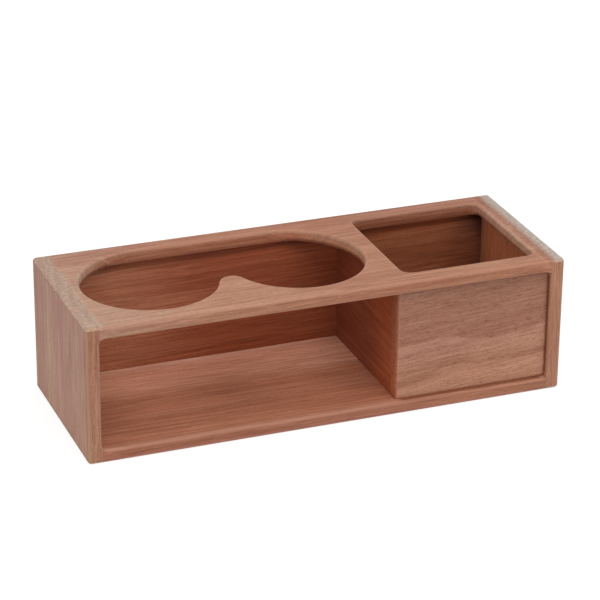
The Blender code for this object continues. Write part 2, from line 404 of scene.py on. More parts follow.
# %% Outlines of the openings
CORNER_STEPS = 20
CHATTER_ANGLE = 111.5
CHATTER_SPAN = 7.0
CHATTER_STEPS = 40
CIRCLE_STEPS = 50
TIP_STEPS = 20
BIN_CORNER_STEPS = 6
BIN_FRONT_STEPS = 60


def arc(centre, radius, start, end, steps, into=1.0):
    """An arc between two angles in degrees, with the direction into the wood at each point."""
    angle = np.radians(np.linspace(start, end, steps + 1))
    way = np.stack([np.cos(angle), np.sin(angle)], axis=-1)
    return np.asarray(centre) + radius * way, into * way


def straight(start, end, steps, into):
    """A straight piece of outline with one direction into the wood."""
    share = np.linspace(0, 1, steps + 1)[:, None]
    points = np.asarray(start) + share * (np.asarray(end) - np.asarray(start))
    return points, np.broadcast_to(np.asarray(into, float), points.shape)


def chain(*pieces):
    """Pieces of outline end to end, with the shared points kept once."""
    points = [pieces[0][0]] + [piece[0][1:] for piece in pieces[1:]]
    into = [pieces[0][1]] + [piece[1][1:] for piece in pieces[1:]]
    return np.concatenate(points), np.concatenate(into)


def drinks_sides():
    """The joined drink openings as four chains: the left side, the front, the right side, the rear."""
    first = (drink_left + DRINK_RADIUS, drink_middle)
    second = (first[0] + pitch, drink_middle)
    tip = (first[0] + pitch / 2, drink_middle - WEB_TIP_SETBACK)
    tilt = float(np.degrees(np.arctan2(WEB_TIP_SETBACK, pitch / 2)))
    rear_left = (drink_left + rear_radius, drink_middle)
    rear_right = (drink_right - rear_radius, drink_middle)
    straight_steps = 2 * CIRCLE_STEPS + TIP_STEPS - 2 * CORNER_STEPS
    chatter_start = CHATTER_ANGLE - CHATTER_SPAN
    chatter_end = CHATTER_ANGLE + CHATTER_SPAN
    left = chain(
        arc(rear_left, rear_radius, 135, 180, CORNER_STEPS),
        arc(first, DRINK_RADIUS, 180, 225, CORNER_STEPS))
    before = chain(
        arc(first, DRINK_RADIUS, 225, 360 - tilt, CIRCLE_STEPS),
        arc(tip, tip_radius, 180 - tilt, tilt, TIP_STEPS, -1.0),
        arc(second, DRINK_RADIUS, 180 + tilt, 315, CIRCLE_STEPS))
    right = chain(
        arc(second, DRINK_RADIUS, 315, 360, CORNER_STEPS),
        arc(rear_right, rear_radius, 0, 45, CORNER_STEPS))
    behind = chain(
        arc(rear_right, rear_radius, 45, 90, CORNER_STEPS),
        straight((rear_right[0], rear_wall), (rear_left[0], rear_wall), straight_steps, (0, 1)),
        arc(rear_left, rear_radius, 90, chatter_start, CORNER_STEPS // 2),
        arc(rear_left, rear_radius, chatter_start, chatter_end, CHATTER_STEPS),
        arc(rear_left, rear_radius, chatter_end, 135, CORNER_STEPS // 2))
    return left, before, right, behind


def bin_sides():
    """The bin's opening as four chains, in the same order: half a corner, a straight, half a corner."""
    low = np.array([bin_left, front + FRONT_RAIL]) + BIN_CORNER_RADIUS
    high = np.array([bin_right, rear_wall]) - BIN_CORNER_RADIUS
    corners = [(low[0], high[1]), (low[0], low[1]), (high[0], low[1]), (high[0], high[1])]
    outwards = [(-1, 0), (0, -1), (1, 0), (0, 1)]
    side_steps = 2 * CORNER_STEPS - 2 * BIN_CORNER_STEPS
    front_steps = BIN_FRONT_STEPS - 2 * BIN_CORNER_STEPS
    sides = []
    for number, into in enumerate(outwards):
        angle = 135 + 90 * number
        ends = np.array([corners[number], corners[(number + 1) % 4]])
        start, end = ends + BIN_CORNER_RADIUS * np.array(into)
        sides.append(chain(
            arc(ends[0], BIN_CORNER_RADIUS, angle, angle + 45, BIN_CORNER_STEPS),
            straight(start, end, (side_steps, front_steps)[number % 2], into),
            arc(ends[1], BIN_CORNER_RADIUS, angle + 45, angle + 90, BIN_CORNER_STEPS)))
    return sides


drinks_opening = drinks_sides()
bin_opening = bin_sides()
print("points along their sides:", [len(side[0]) for side in (*drinks_opening, *bin_opening)])

# %% [markdown]
# ## The top board
#
# The top has flat faces with holes in them. A Boolean would cut them, but it leaves long slivers
# of faces. Here the board is divided into one cell round each opening, and each face of a cell
# is a ruled ring: straight lines from the rim of the opening to the edge of the cell. The walls,
# the rings and the long edges share their points, so the board closes without a seam.

# %% The top board, with both openings
RING_ROWS = 6
RING_BUNCHING = 0.6
WALL_ROWS = 4
LOWEST_RADIUS = 0.2 * MM
CROWN_BREADTH = 0.6
# painted shade on the lower arris of the openings, and beside the back panel up the wall
LOWER_ARRIS_PAINTED_SHADE = 0.8
CHATTER_DEPTH = 0.16 * MM
CHATTER_PITCH = 1.5 * MM
CHATTER_LENGTH = 2.8 * MM


def chatter(points):
    """A router's chatter mark on the left drink's rear arc, which the photograph shows.

    A few ripples, cos(2 pi s / pitch), die away with the distance s along the arc as
    exp(-(s / length)^2), and nothing is left of them past the arc's finely divided part.
    """
    angle = np.arctan2(points[:, 1] - drink_middle, points[:, 0] - drink_left - rear_radius)
    along = rear_radius * (angle - np.radians(CHATTER_ANGLE))
    fading = np.exp(-(along / CHATTER_LENGTH) ** 2)
    ripple = CHATTER_DEPTH * np.cos(2 * np.pi * along / CHATTER_PITCH) * fading
    in_span = np.abs(along) < rear_radius * np.radians(CHATTER_SPAN)
    return np.where((points[:, 0] < drink_left + rear_radius) & in_span, ripple, 0.0)


def clear_of_panel(points):
    """0 where the back panel stands under an outline and 1 away from it: 3 s^2 - 2 s^3.

    s is the distance from the rear wall as a share of the bearing's reach.
    """
    share = np.clip((rear_wall - points[:, 1]) / BEARING_RADIUS, 0, 1)
    return share ** 2 * (3 - 2 * share)


def lower_radius(points):
    """The lower arris: the bit can't run over the back panel, so the radius fades beside it."""
    return LOWEST_RADIUS + (EDGE_RADIUS - LOWEST_RADIUS) * clear_of_panel(points)


def wall_profile(points):
    """Offset into the wood, height and the value for wear and painted light at each point, down the wall
    from face to face.

    The upper arris gets a pale crown. The lower arris gets painted shade, and beside the back panel
    the painted shade also reaches up the wall out of the nook.
    """
    turn = quarter()
    radius = lower_radius(points)[:, None]
    column = np.ones_like(radius)
    flat = np.linspace(0, 1, WALL_ROWS)[1:-1]
    low = top_underside + radius
    offset = np.concatenate([
        column * EDGE_RADIUS * (1 - np.sin(turn)),
        column * 0 * flat,
        radius * (1 - np.sin(turn[::-1]))], axis=1)
    level = np.concatenate([
        height - column * EDGE_RADIUS * (1 - np.cos(turn)),
        height - EDGE_RADIUS + flat * (low - height + EDGE_RADIUS),
        top_underside + radius * (1 - np.cos(turn[::-1]))], axis=1)
    worn = np.concatenate([
        column * np.sin(2 * turn) ** CROWN_BREADTH,
        -LOWER_ARRIS_PAINTED_SHADE * flat * (1 - clear_of_panel(points)[:, None]),
        column * np.full(len(turn), -LOWER_ARRIS_PAINTED_SHADE)], axis=1)
    return offset, level, worn


def opening_walls(skin, sides):
    """The wall of one opening: the profile carried round the outline."""
    points, into = chain(*sides)
    points, into = points[:-1], into[:-1]
    offset, level, worn = wall_profile(points)
    above_lower_arris = level > top_underside + EDGE_RADIUS
    ripple = chatter(points)[:, None] * (offset < EDGE_RADIUS) * above_lower_arris
    flat_places = points[:, None, :] + (offset + ripple)[..., None] * into[:, None, :]
    surface = np.concatenate([flat_places, level[..., None]], axis=-1)
    skin.grid(surface.transpose(1, 0, 2), worn.T, closed=True)


def ring(skin, sides, edges, level):
    """A flat ring: lines from the rim of the opening to the edge of its cell, (1 - t) rim + t edge."""
    share = np.linspace(0, 1, RING_ROWS + 1)[:, None, None]
    for (points, into), edge in zip(sides, edges):
        radius = EDGE_RADIUS if level == height else lower_radius(points)[:, None]
        rim = points + radius * into
        flat_places = (1 - share) * rim + share * edge
        levels = np.full(flat_places.shape[:2] + (1,), level)
        skin.grid(np.concatenate([flat_places, levels], axis=-1))


def stations_beside(side, x_low, x_high):
    """Places along a cell's edge, one for each point of the rim across from it.

    They are the rim's own places, bunched up a little more at both ends, so that the lines of the
    ring stay nearly square to the edge.
    """
    points, into = side
    rim = np.sort(points[:, 0] + EDGE_RADIUS * into[:, 0])
    share = (rim - rim[0]) / (rim[-1] - rim[0])
    return x_low + (x_high - x_low) * bunched(share, RING_BUNCHING)


def cell_edges(front_edge, rear_edge):
    """The edge of a cell as four rows of points, in the order of an opening's sides."""
    share = np.linspace(0, 1, 2 * CORNER_STEPS + 1)[:, None]
    left = rear_edge[0] + share * (front_edge[0] - rear_edge[0])
    right = front_edge[-1] + share * (rear_edge[-1] - front_edge[-1])
    return left, front_edge, right, rear_edge[::-1]


def top_piece(name):
    """The top: two long edges, two rings on each face, two walls and two end caps."""
    first = inner_left + GLUE_LINE
    last = inner_right - GLUE_LINE
    split = (drink_right + bin_left) / 2
    skin = Skin()
    strips = []
    for number in (1, 3):
        drinks_part = stations_beside(drinks_opening[number], first + EASED_EDGE, split)
        bin_part = stations_beside(bin_opening[number], split, last - EASED_EDGE)
        stations = np.concatenate([[first], drinks_part, bin_part[1:], [last]])
        profile, worn = long_edge(stations, height, top_underside)
        if number == 3:
            profile = mirrored(profile)
        strips.append(in_space(stations, profile))
        skin.grid(strips[-1], worn)
    ahead, behind = strips
    turn_ahead = len(drinks_opening[1][0])
    turn_behind = len(drinks_opening[3][0])
    for level, row in ((height, 0), (top_underside, -1)):
        front_edge = ahead[1:-1, row, :2]
        rear_edge = behind[1:-1, row, :2]
        drinks_cell = cell_edges(front_edge[:turn_ahead], rear_edge[:turn_behind])
        bin_cell = cell_edges(front_edge[turn_ahead - 1:], rear_edge[turn_behind - 1:])
        ring(skin, drinks_opening, drinks_cell, level)
        ring(skin, bin_opening, bin_cell, level)
    opening_walls(skin, drinks_opening)
    opening_walls(skin, bin_opening)
    share = np.linspace(0, 1, 2 * CORNER_STEPS + 1)[:, None]
    for end, beside in ((0, 1), (-1, -2)):
        across = []
        for row in (0, -1):
            lines = [ahead[at, row] + share * (behind[at, row] - ahead[at, row]) for at in (end, beside)]
            skin.grid(np.stack(lines))
            across.append(lines[0])
        skin.cap(np.concatenate([ahead[end], across[1], behind[end][::-1], across[0][::-1]]))
    return skin.piece(name)


top_board = top_piece("top_board_piece")

# %% [markdown]
# ## The upright panels
#
# The back, the divider and the front of the bin are plain boards with sanded edges, and the left
# arris of the bin's front is rounded like the rest. One function carries a rectangle with four
# corner radii along a board, and draws it in at both ends.

# %% The three panels
PANEL_EDGE = 0.25 * MM
PANEL_CORNER_STEPS = 6
PANEL_ROWS = 40


def rounded_loop(low, high, radii, inset):
    """A rectangle with its own radius at each corner: corner centre + (radius - inset) x direction."""
    turn = quarter(PANEL_CORNER_STEPS)
    outline = np.array([[low[0], low[1]], [high[0], low[1]], [high[0], high[1]], [low[0], high[1]]])
    corners = []
    for corner, radius, start in zip(outline, radii, (2, 3, 0, 1)):
        centre = corner - np.sign(corner - (low + high) / 2) * radius
        angle = turn + start * np.pi / 2
        way = np.stack([np.cos(angle), np.sin(angle)], axis=-1)
        corners.append(centre + (radius - inset)[:, None, None] * way)
    lines = []
    for corner, after in zip(corners, corners[1:] + corners[:1]):
        lines += [corner, runs(corner[:, -1], after[:, 0], FACE_RUNS)]
    return np.concatenate(lines, axis=1)


def loop_worn(radii):
    """The values for wear and painted light round that loop: pale crowns, of rubbed wood and painted
    highlight, on the arrises that the round-over bit made.
    """
    turn = quarter(PANEL_CORNER_STEPS)
    parts = []
    for radius in radii:
        parts += [np.sin(2 * turn) * (radius > PANEL_EDGE), np.zeros(FACE_RUNS - 1)]
    return np.concatenate(parts)


def panel_piece(name, node, axis, gaps, radii):
    """A panel carried along one axis: its CAD node, grown by the gaps that a joint leaves."""
    low, high = (np.array(corner, float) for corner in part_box(node))
    low, high = low - np.array(gaps[0]), high + np.array(gaps[1])
    others = [number for number in range(3) if number != axis]
    middle = graded(low[axis] + PANEL_EDGE, high[axis] - PANEL_EDGE, PANEL_ROWS)[1:-1]
    stations, inset = drawn_ends(low[axis], middle, high[axis], PANEL_EDGE, PANEL_CORNER_STEPS)
    loop = rounded_loop(low[others], high[others], radii, inset)
    return carried(name, in_space(stations, loop, (axis, *others)), loop_worn(radii))


packed_gap = float(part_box("floor_board")[0].x) - inner_left
tighter = packed_gap - GLUE_LINE
between_ends = ((tighter, 0, tighter), (tighter, 0, tighter))
from_front_to_back = ((0, tighter, tighter), (0, tighter, tighter))
over_divider = ((0, 0, tighter), (tighter, 0, tighter))
eased = (PANEL_EDGE, PANEL_EDGE, PANEL_EDGE, PANEL_EDGE)
rounded_left = (EDGE_RADIUS, PANEL_EDGE, PANEL_EDGE, PANEL_EDGE)
back_panel = panel_piece("back_panel_piece", "back_panel", 0, between_ends, eased)
divider = panel_piece("divider_piece", "divider", 1, from_front_to_back, eased)
bin_front = panel_piece("bin_front_piece", "bin_front", 2, over_divider, rounded_left)

# %% [markdown]
# ## Shader maths
#
# The wood is a formula of the place in the board. To write it as one, a small class wraps a
# socket, so that a sum or a product of signals adds its Math node by itself.

# %% The signal class
class Signal:
    """A socket of a shader tree that can be used in sums and products."""

    def __init__(self, finish, socket):
        self.finish, self.socket = finish, socket

    def math(self, operation, *values):
        return self.finish.add("ShaderNodeMath", {"operation": operation}, dict(enumerate(values)))

    def __add__(self, other):
        return self.math("ADD", self, other)

    def __sub__(self, other):
        return self.math("SUBTRACT", self, other)

    def __rsub__(self, other):
        return self.math("SUBTRACT", other, self)

    def __mul__(self, other):
        return self.math("MULTIPLY", self, other)

    def __truediv__(self, other):
        return self.math("DIVIDE", self, other)

    __radd__ = __add__
    __rmul__ = __mul__

    def fraction(self):
        return self.math("FRACT", self)

    def size(self):
        return self.math("ABSOLUTE", self)

    def step(self, low, high):
        """0 below low, 1 above high, and a smooth step between."""
        values = {"Value": self, "From Min": low, "From Max": high}
        return self.finish.add("ShaderNodeMapRange", {"interpolation_type": "SMOOTHSTEP"}, values)

    def hump(self, rise, top, fall, end):
        """A smooth step up from rise to top, and a smooth step down from fall to end."""
        return self.step(rise, top) * (1.0 - self.step(fall, end))


def opaque(colour):
    return (*colour, 1.0)


class Finish:
    """A material or a world whose nodes are added one by one."""

    def __init__(self, owner):
        owner.use_nodes = True
        self.owner = owner
        self.tree = owner.node_tree
        self.shader = self.tree.nodes.get("Principled BSDF")

    def add(self, kind, settings=None, inputs=None, output=0):
        """Adds a node: its settings first, then the values or links of its sockets. Returns one output."""
        node = self.tree.nodes.new(kind)
        for name, value in (settings or {}).items():
            setattr(node, name, value)
        self.feed(node, inputs or {})
        return Signal(self, node.outputs[output])

    def feed(self, node, values):
        """Links signals to sockets of a node, or sets the sockets' own values."""
        for name, value in values.items():
            if isinstance(value, Signal):
                self.tree.links.new(value.socket, node.inputs[name])
            else:
                node.inputs[name].default_value = value

    def vector(self, operation, *values, output=0):
        return self.add("ShaderNodeVectorMath", {"operation": operation}, dict(enumerate(values)), output)

    def along(self, place, direction):
        """How far a place lies along a direction."""
        return self.vector("DOT_PRODUCT", place, direction, output="Value")

    def noise(self, place, spot, detail, roughness, output=0):
        """Soft noise. spot is the size of its spots along each axis, or 0 where it doesn't change."""
        scale = [1 / size if size else 0.0 for size in spot]
        stretched = self.vector("MULTIPLY", place, scale)
        inputs = {"Vector": stretched, "Scale": 1.0, "Detail": detail, "Roughness": roughness}
        return self.add("ShaderNodeTexNoise", {"noise_dimensions": "3D"}, inputs, output)

    def mix(self, factor, first, second, blend="MIX"):
        """A mix of two colours. The node has its colours at the inputs 6 and 7 and the output 2."""
        settings = {"data_type": "RGBA", "blend_type": blend}
        return self.add("ShaderNodeMix", settings, {0: factor, 6: first, 7: second}, 2)

    def shade(self, factor, colour, shares):
        """A colour of which each channel is multiplied by its share, as far as the factor says."""
        return self.mix(factor, colour, opaque(shares), "MULTIPLY")

    def bump(self, strength, distance, lift):
        """Feeds the shader's normal with small ups and downs."""
        values = {"Strength": strength, "Distance": distance, "Height": lift}
        self.feed(self.shader, {"Normal": self.add("ShaderNodeBump", inputs=values)})


# %% [markdown]
# ## Teak
#
# Teak is ring porous: each year begins with a row of large pores and ends in a denser, darker
# band. On a face that runs along the grain the pores show as short dark dashes, and on an end
# they are dots. The colour comes from the place in the log: rings round a pith that lies outside
# the board, wandering a little, with noise that is stretched along the grain, so every face and
# arris of a board shows the same tree.
#
# A noise is written as the size of its spots along the grain and across it, then its detail and
# roughness. A step is written as the two values between which it rises, and a hump as the four
# between which it rises and falls. Shares multiply red, green and blue.

# %% The teak finish
ALONG_X = (0.0, 0.0, 0.0)
ALONG_Y = (0.0, 0.0, -90.0)
ALONG_Z = (0.0, 90.0, 0.0)
AXES = {ALONG_X: (1, 0, 0), ALONG_Y: (0, 1, 0), ALONG_Z: (0, 0, 1)}
TO_MILLIMETRES = (1000.0, 1000.0, 1000.0)
ACROSS = (0.0, 1.0, 1.0)

SWAY = ((110, 30, 30), 2.0, 0.5)
STREAK = ((130, 1.8, 1.8), 3.0, 0.65)
FINE = ((26, 0.7, 0.7), 2.0, 0.6)
CLOUD = ((120, 14, 14), 2.0, 0.5)
HUE = ((260, 6, 6), 2.0, 0.55)
DASH = ((3.6, 0.55, 0.55), 1.0, 0.4)
PORE = ((2.6, 0.24, 0.24), 0.0, 0.5)
MOTTLE = ((0, 1.7, 3.0), 2.0, 0.6)
PATCH = ((0, 5.5, 3.4), 2.0, 0.6)
CHIP = ((1.5 * MM, 1.5 * MM, 1.5 * MM), 2.0, 0.6)

MEAN = 0.5
FIBRE_SWAY = (0.0, 5.0, 5.0)
RING_SWAY = (0.0, 12.0, 12.0)
YEAR_PACE = 0.09
YEAR_SPREAD = 14.0
LATE_HUMP = (0.10, 0.80, 0.84, 1.0)
LATE_MEAN = 0.4
EARLY_HUMP = (0.0, 0.06, 0.15, 0.50)

STREAK_WEIGHT = 3.0
FINE_WEIGHT = 1.6
HUE_STEP = (0.38, 0.62)
DARK_STEP = (-0.15, 1.15)
LATE_DASHES = 0.06
DASH_STEP = (0.62, 0.72)
EARLY_PORES = 0.10
PORE_STEP = (0.60, 0.74)
PORE_DEPTH = 0.5
MARK_DEPTH = 0.7
MARK_SHARES = (0.45, 0.45, 0.45)
PALE_SHARES = (1.22, 1.30, 1.36)
DEEP_SHARES = (0.72, 0.64, 0.58)

END_REACH = (0.35, 0.70)
WIDE_END_REACH = (0.12, 0.40)
END_LATE_WEIGHT = 0.3
END_PORE_WEIGHT = 1.2
END_DARK_STEP = (-0.2, 1.1)
PATCH_STEP = (0.35, 0.65)
END_PATCH_SHARES = (1.05, 0.94, 0.86)
END_DARK_SHARES = (0.62, 0.60, 0.58)

ARRIS_HUMP = (0.0, 0.12, 0.25, 0.50)
CHIP_STEP = (0.50, 0.60)
TORN_SHARES = (0.42, 0.34, 0.27)
# painted shade on the faces inside the rack
INSIDE_PAINTED_SHADE_SHARES = (0.95, 0.84, 0.76)
# pale crowns of the arrises: rubbed wood and a painted highlight
RUBBED_AND_HIGHLIGHT_SHARES = (1.20, 1.40, 1.60)
RUBBING_AND_HIGHLIGHT = 0.28
UNEVEN_RUBBING_AND_HIGHLIGHT = 0.5
END_GRAIN_DAMPING = 0.8
# painted shade in nooks and on lower arrises
PAINTED_SHADE_SHARES = (0.50, 0.40, 0.36)
PAINTED_SHADE_DEPTH = 0.9

ROUGHNESS = 0.52
FINE_ROUGHNESS = 0.2
MARK_ROUGHNESS = 0.12
REFRACTION = 1.5
SPECULAR_LEVEL = 0.2
FINE_LIFT = 0.5
STREAK_LIFT = 0.4
LATE_LIFT = 0.1
MARK_DIP = 0.6
BUMP_STRENGTH = 0.5
BUMP_HEIGHT = 0.12 * MM


def multiplied(shares, colour):
    return opaque([share * channel for share, channel in zip(shares, colour)])


def log_place(finish, place, grain, tilt=(0.0, 0.0, 0.0), pith=(0.0, 0.0)):
    """The place in the log, in millimetres from its pith, with X along the grain."""
    turn = [float(np.radians(base + extra)) for base, extra in zip(grain, tilt)]
    values = {"Vector": place, "Location": (0.0, *pith), "Rotation": turn, "Scale": TO_MILLIMETRES}
    return finish.add("ShaderNodeMapping", {"vector_type": "POINT"}, values)


def tinted(finish, colour, place, tints, wander):
    """A colour with its changes of tone, which wander to and fro with the grain."""
    for direction, low, high, shares, sway_room in tints:
        ragged = finish.along(place, direction) + wander * sway_room
        colour = finish.shade(ragged.step(low, high), colour, shares)
    return colour


def teak(name, grain, tilt, pith, ring_width, tone, blush, end_tone,
         band=0.2, streaks=0.5, flecks=0.15, clouds=0.5, torn=0.0, mottling=2.6,
         end_reach=END_REACH, inner=INSIDE_PAINTED_SHADE_SHARES, tints=(), end_tints=()):
    """The wood of one board.

    grain turns the log's axis to X, tilt adds degrees to it, and pith is the log's centre in
    millimetres across the grain. tone, blush and end_tone colour the faces, their redder or
    yellower streaks and the end grain. band, streaks, flecks, clouds and mottling say how
    strongly each shows, and torn how much grain is chipped out of the arrises. A surface looks
    like an end where it crosses the grain as squarely as end_reach says. inner holds the shares
    of the faces inside the rack, which paint shade on them, and on some boards warm bounce light.
    tints and end_tints change the tone, some as the wood's own tone and some as painted light and shade.
    """
    finish = Finish(bpy.data.materials.new(name))
    place = finish.add("ShaderNodeTexCoord", output="Object")
    log = log_place(finish, place, grain, tilt, pith)
    sway = finish.vector("SUBTRACT", finish.noise(log, *SWAY, "Color"), (MEAN, MEAN, MEAN))
    fibre = finish.vector("ADD", log, finish.vector("MULTIPLY", sway, FIBRE_SWAY))
    bent = finish.vector("ADD", log, finish.vector("MULTIPLY", sway, RING_SWAY))
    radius = finish.vector("LENGTH", finish.vector("MULTIPLY", bent, ACROSS), output="Value")
    years = {"W": radius * YEAR_PACE, "Scale": 1.0, "Detail": 2.0}
    uneven = finish.add("ShaderNodeTexNoise", {"noise_dimensions": "1D"}, years)
    phase = ((radius + uneven * YEAR_SPREAD) / ring_width).fraction()
    late = phase.hump(*LATE_HUMP)
    early = phase.hump(*EARLY_HUMP)

    streak = finish.noise(fibre, *STREAK) - MEAN
    fine = finish.noise(fibre, *FINE) - MEAN
    cloud = finish.noise(fibre, *CLOUD) - MEAN
    pore = finish.noise(fibre, *PORE)
    lines = (late - LATE_MEAN) * band + streak * (STREAK_WEIGHT * streaks) + fine * FINE_WEIGHT
    darkness = lines + cloud * clouds + MEAN
    deep = multiplied(DEEP_SHARES, tone)
    warmth = finish.noise(fibre, *HUE).step(*HUE_STEP)
    face = finish.mix(warmth, multiplied(PALE_SHARES, tone), multiplied(PALE_SHARES, blush))
    face = finish.mix(darkness.step(*DARK_STEP), face, deep)
    fleck = (finish.noise(fibre, *DASH) + late * LATE_DASHES).step(*DASH_STEP) * flecks
    dot = (pore + early * EARLY_PORES).step(*PORE_STEP) * PORE_DEPTH
    marks = fleck + dot - fleck * dot
    face = finish.mix(marks * MARK_DEPTH, face, multiplied(MARK_SHARES, deep))

    normal = finish.add("ShaderNodeTexCoord", output="Normal")
    facing = finish.along(normal, AXES[grain]).size()
    mottle = finish.noise(log, *MOTTLE)
    patch = finish.noise(log, *PATCH)
    end_lines = (late - LATE_MEAN) * END_LATE_WEIGHT + (pore - MEAN) * END_PORE_WEIGHT
    end_dark = end_lines + (mottle - MEAN) * mottling + MEAN
    end_face = finish.shade(patch.step(*PATCH_STEP), opaque(end_tone), END_PATCH_SHARES)
    end_face = finish.shade(end_dark.step(*END_DARK_STEP), end_face, END_DARK_SHARES)
    end_face = tinted(finish, end_face, place, end_tints, patch + mottle - 2 * MEAN)
    on_end = facing.step(*end_reach)
    colour = finish.mix(on_end, face, end_face)
    colour = tinted(finish, colour, place, tints, cloud + streak)
    chips = finish.noise(place, *CHIP).step(*CHIP_STEP) * facing.hump(*ARRIS_HUMP)
    colour = finish.shade(chips * torn, colour, TORN_SHARES)

    # Faces inside the rack get painted shade; on the right end and the top the shares paint warm bounce
    # light instead.
    inside = finish.add("ShaderNodeAttribute", {"attribute_name": "inside"}, output="Fac")
    colour = finish.shade(inside, colour, inner)
    # The crowns of the arrises are drawn pale, as rubbed wood and a painted highlight.
    worn = finish.add("ShaderNodeAttribute", {"attribute_name": "worn"}, output="Fac")
    rubbing_and_highlight = (RUBBING_AND_HIGHLIGHT + fine * UNEVEN_RUBBING_AND_HIGHLIGHT) * (1.0 - on_end * END_GRAIN_DAMPING)
    colour = finish.mix(worn.step(0.0, 1.0) * rubbing_and_highlight, colour, multiplied(RUBBED_AND_HIGHLIGHT_SHARES, tone))
    # Nooks and lower arrises get painted shade.
    colour = finish.shade(worn.step(0.0, -1.0) * PAINTED_SHADE_DEPTH, colour, PAINTED_SHADE_SHARES)
    finish.feed(finish.shader, {
        "Base Color": colour,
        "Roughness": ROUGHNESS + fine * FINE_ROUGHNESS + marks * MARK_ROUGHNESS,
        "IOR": REFRACTION,
        "Specular IOR Level": SPECULAR_LEVEL})
    lift = fine * FINE_LIFT + streak * STREAK_LIFT + late * LATE_LIFT - marks * MARK_DIP
    finish.bump(BUMP_STRENGTH, BUMP_HEIGHT, lift)
    return finish.owner


# %% [markdown]
# ## The tone of each board
#
# No board has one colour from end to end. Some changes are the wood's own tone, and many are
# painted light and shade, as the comments beside the tints say. A zone is where such a change
# begins and where it is full, in millimetres from a face of the rack. A tint is a zone with a
# direction across it and the shares that it reaches.

# %% The wood of the seven boards
RIGHTWARDS, BACKWARDS, UPWARDS = (1, 0, 0), (0, 1, 0), (0, 0, 1)
UP_AND_FORWARDS = (0, -0.5, 0.5)
UP_AND_LEFTWARDS = (-1, 0, 1)
UP_AND_RIGHTWARDS = (1, 0, 1)
BACK_AND_RIGHTWARDS = (1, 1, 0)


def zone(place, start, full):
    """Where a change of tone begins and is full, in millimetres from a place."""
    return place + start * MM, place + full * MM


def tint(direction, zone_ends, shares, ragged=0.6):
    """A change of tone: from none at the first end of a zone to the full shares at the second.

    ragged says how far the grain carries the change to and fro, as a share of its width.
    """
    low, high = zone_ends
    return direction, low, high, shares, ragged * abs(high - low)


left_face_painted_top_shade = (floor_top, height)
left_front_edge_painted_shade = zone(front, 8, 0)
upper_front_corner = zone((height - front) / 2, -7, -2)
left_wood = teak(
    "left_end_teak", ALONG_Z, tilt=(0.8, 0.0, 0.8), pith=(38.0, 95.0), ring_width=7.0,
    tone=(0.406, 0.209, 0.157), blush=(0.390, 0.246, 0.145), end_tone=(0.54, 0.41, 0.326),
    band=0.15, torn=0.8, end_reach=WIDE_END_REACH,
    tints=[
        # painted shade: the left end darker towards its top
        tint(UPWARDS, left_face_painted_top_shade, (0.885, 0.82, 0.80)),
        # painted shade: the left end's front edge is drawn more orange, as it shows less sheen than the
        # side
        tint(BACKWARDS, left_front_edge_painted_shade, (0.935, 0.82, 0.67)),
        tint(UP_AND_FORWARDS, upper_front_corner, (1.10, 1.18, 1.24))])

right_end_inner_painted_shade = zone(inner_right, 7, 2)
right_end_inner_half = zone(outer_right, -5.5, -10.5)
right_wood = teak(
    "right_end_teak", ALONG_Z, tilt=(-0.8, 0.0, 0.6), pith=(-25.0, 120.0), ring_width=6.0,
    tone=(0.402, 0.193, 0.118), blush=(0.402, 0.183, 0.111), end_tone=(0.535, 0.468, 0.422),
    # inner paints warm bounce light on the right end's faces inside the rack
    band=0.15, torn=0.3, end_reach=WIDE_END_REACH, inner=(1.40, 1.06, 0.83),
    # painted shade on the right end's inner face and the mouth's arris beside it
    tints=[tint(RIGHTWARDS, right_end_inner_painted_shade, (0.93, 0.88, 0.84))],
    end_tints=[tint(RIGHTWARDS, right_end_inner_half, (0.80, 0.44, 0.35), ragged=1.0)])

top_left_part = zone(inner_left, 90, 0)
top_left_joint = zone(height - inner_left, -3.5, -0.5)
top_right_part = zone(inner_left, 130, 210)
bin_right_rail_painted_light = zone(bin_right, -2, 1)
top_right_joint = zone(height + inner_right, -4.6, -2.6)
front_face_painted_shade = zone(front, 1.6, 0.4)
top_rear = zone(rear_wall, -40, 0)
top_rear_right_corner = zone(bin_right + front, 12, 24)
bin_right_wall_painted_light = zone(bin_right, -6, -1)
top_wood = teak(
    "top_teak", ALONG_X, tilt=(0.0, 0.6, -1.2), pith=(60.0, -48.0), ring_width=6.5,
    tone=(0.425, 0.198, 0.117), blush=(0.425, 0.210, 0.123), end_tone=(0.48, 0.29, 0.20),
    # inner paints warm bounce light on the walls and the underside of the top's openings
    flecks=0.2, mottling=0.8, inner=(1.09, 0.97, 0.88),
    tints=[
        tint(RIGHTWARDS, top_left_part, (1.06, 1.25, 1.40)),
        tint(UP_AND_LEFTWARDS, top_left_joint, (1.06, 1.28, 1.46), ragged=3.5),
        tint(RIGHTWARDS, top_right_part, (0.97, 0.91, 0.89)),
        # painted light on the bin's right rail and the wall below it
        tint(RIGHTWARDS, bin_right_rail_painted_light, (1.12, 1.16, 1.22)),
        tint(UP_AND_RIGHTWARDS, top_right_joint, (0.79, 0.76, 0.75)),
        # painted shade on the front face of the rail and its arris
        tint(BACKWARDS, front_face_painted_shade, (0.91, 0.86, 0.86)),
        tint(BACKWARDS, top_rear, (0.88, 0.79, 0.79)),
        tint(BACK_AND_RIGHTWARDS, top_rear_right_corner, (1.0, 1.08, 1.12))],
    # painted light on the end grain of the bin's right wall
    end_tints=[tint(RIGHTWARDS, bin_right_wall_painted_light, (1.14, 1.11, 1.13))])

